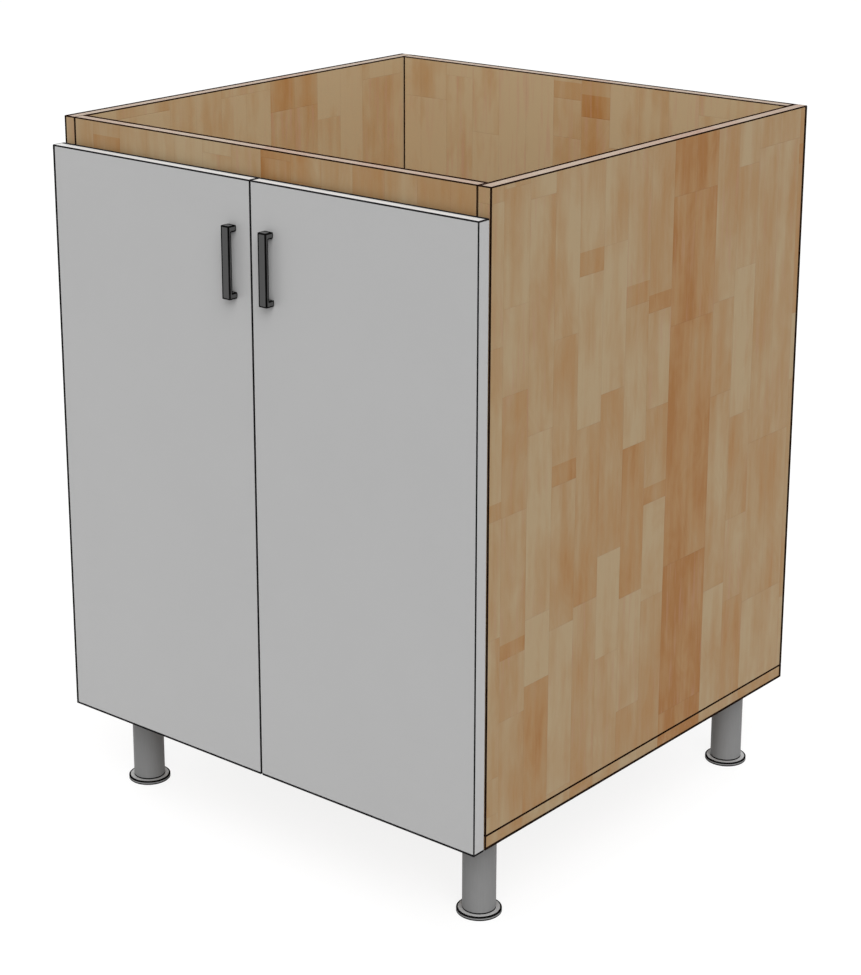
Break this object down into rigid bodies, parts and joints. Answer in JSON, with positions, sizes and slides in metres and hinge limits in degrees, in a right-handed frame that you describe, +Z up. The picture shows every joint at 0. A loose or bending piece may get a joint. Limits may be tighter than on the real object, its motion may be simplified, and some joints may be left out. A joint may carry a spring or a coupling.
{
  "type": "sink base cabinet",
  "caption": "Open-topped wooden sink base cabinet with plain overlay doors on cup hinges, bow handles and round levelling legs.",
  "frame": {"origin": "on the floor, in the middle of the whole object's box", "axes": "+X to the cabinet's right as seen from the front, +Y to its back, +Z up; the doors face -Y"},
  "size_m": [0.6, 0.6108, 0.8065],
  "materials": {
    "jointed_wood": "clear-coated finger-jointed panel, staves vertical",
    "door_board": "smooth light grey laminate on board",
    "handle_metal": "dark grey satin",
    "hinge_steel": "nickel-plated",
    "zinc_screw": "zinc-plated",
    "zinc_casting": "as cast",
    "leg_metal": "mid grey satin",
    "foot_metal": "light grey satin",
    "leg_plastic": "moulded",
    "pad_rubber": "soft, translucent grey",
    "dowel_wood": "fluted beech"
  },
  "bodies": {
    "carcass": {"arm_screws": "zinc_screw", "back_panel": "jointed_wood", "bottom_panel": "jointed_wood", "cam_bolts": "zinc_screw", "cam_locks": "zinc_casting", "dowels": "dowel_wood", "front_rail": "jointed_wood", "hinge_arm_lower_left": "hinge_steel", "hinge_arm_lower_right": "hinge_steel", "hinge_arm_upper_left": "hinge_steel", "hinge_arm_upper_right": "hinge_steel", "hinge_plate_lower_left": "hinge_steel", "hinge_plate_lower_right": "hinge_steel", "hinge_plate_upper_left": "hinge_steel", "hinge_plate_upper_right": "hinge_steel", "leg_flange_front_left": "leg_metal", "leg_flange_front_right": "leg_metal", "leg_flange_rear_left": "leg_metal", "leg_flange_rear_right": "leg_metal", "leg_nut_front_left": "leg_plastic", "leg_nut_front_right": "leg_plastic", "leg_nut_rear_left": "leg_plastic", "leg_nut_rear_right": "leg_plastic", "leg_screws": "zinc_screw", "leg_tube_front_left": "leg_metal", "leg_tube_front_right": "leg_metal", "leg_tube_rear_left": "leg_metal", "leg_tube_rear_right": "leg_metal", "long_screws": "zinc_screw", "plate_screws": "zinc_screw", "side_panel_left": "jointed_wood", "side_panel_right": "jointed_wood"},
    "door_left": {"bumper_pads_left": "pad_rubber", "cup_screws_left": "zinc_screw", "door_left": "door_board", "handle_left": "handle_metal", "handle_screws_left": "zinc_screw", "hinge_cup_lower_left": "hinge_steel", "hinge_cup_upper_left": "hinge_steel", "hinge_pin_lower_left": "hinge_steel", "hinge_pin_upper_left": "hinge_steel"},
    "door_right": {"bumper_pads_right": "pad_rubber", "cup_screws_right": "zinc_screw", "door_right": "door_board", "handle_right": "handle_metal", "handle_screws_right": "zinc_screw", "hinge_cup_lower_right": "hinge_steel", "hinge_cup_upper_right": "hinge_steel", "hinge_pin_lower_right": "hinge_steel", "hinge_pin_upper_right": "hinge_steel"},
    "foot_front_left": {"foot_disc_front_left": "foot_metal", "leg_spindle_front_left": "zinc_screw"},
    "foot_front_right": {"foot_disc_front_right": "foot_metal", "leg_spindle_front_right": "zinc_screw"},
    "foot_rear_left": {"foot_disc_rear_left": "foot_metal", "leg_spindle_rear_left": "zinc_screw"},
    "foot_rear_right": {"foot_disc_rear_right": "foot_metal", "leg_spindle_rear_right": "zinc_screw"}
  },
  "joints": [
    {"name": "door_left_hinge", "type": "hinge", "parent": "carcass", "child": "door_left", "pos_m": [-0.29277, -0.2866, 0.4415], "axis": [0, 0, -1], "range_deg": [0, 95]},
    {"name": "door_right_hinge", "type": "hinge", "parent": "carcass", "child": "door_right", "pos_m": [0.29277, -0.2866, 0.4415], "axis": [0, 0, 1], "range_deg": [0, 95]},
    {"name": "foot_front_left_screw", "type": "slide", "parent": "carcass", "child": "foot_front_left", "axis": [0, 0, -1], "range_m": [0, 0.02]},
    {"name": "foot_front_right_screw", "type": "slide", "parent": "carcass", "child": "foot_front_right", "axis": [0, 0, -1], "range_m": [0, 0.02]},
    {"name": "foot_rear_left_screw", "type": "slide", "parent": "carcass", "child": "foot_rear_left", "axis": [0, 0, -1], "range_m": [0, 0.02]},
    {"name": "foot_rear_right_screw", "type": "slide", "parent": "carcass", "child": "foot_rear_right", "axis": [0, 0, -1], "range_m": [0, 0.02]}
  ]
}
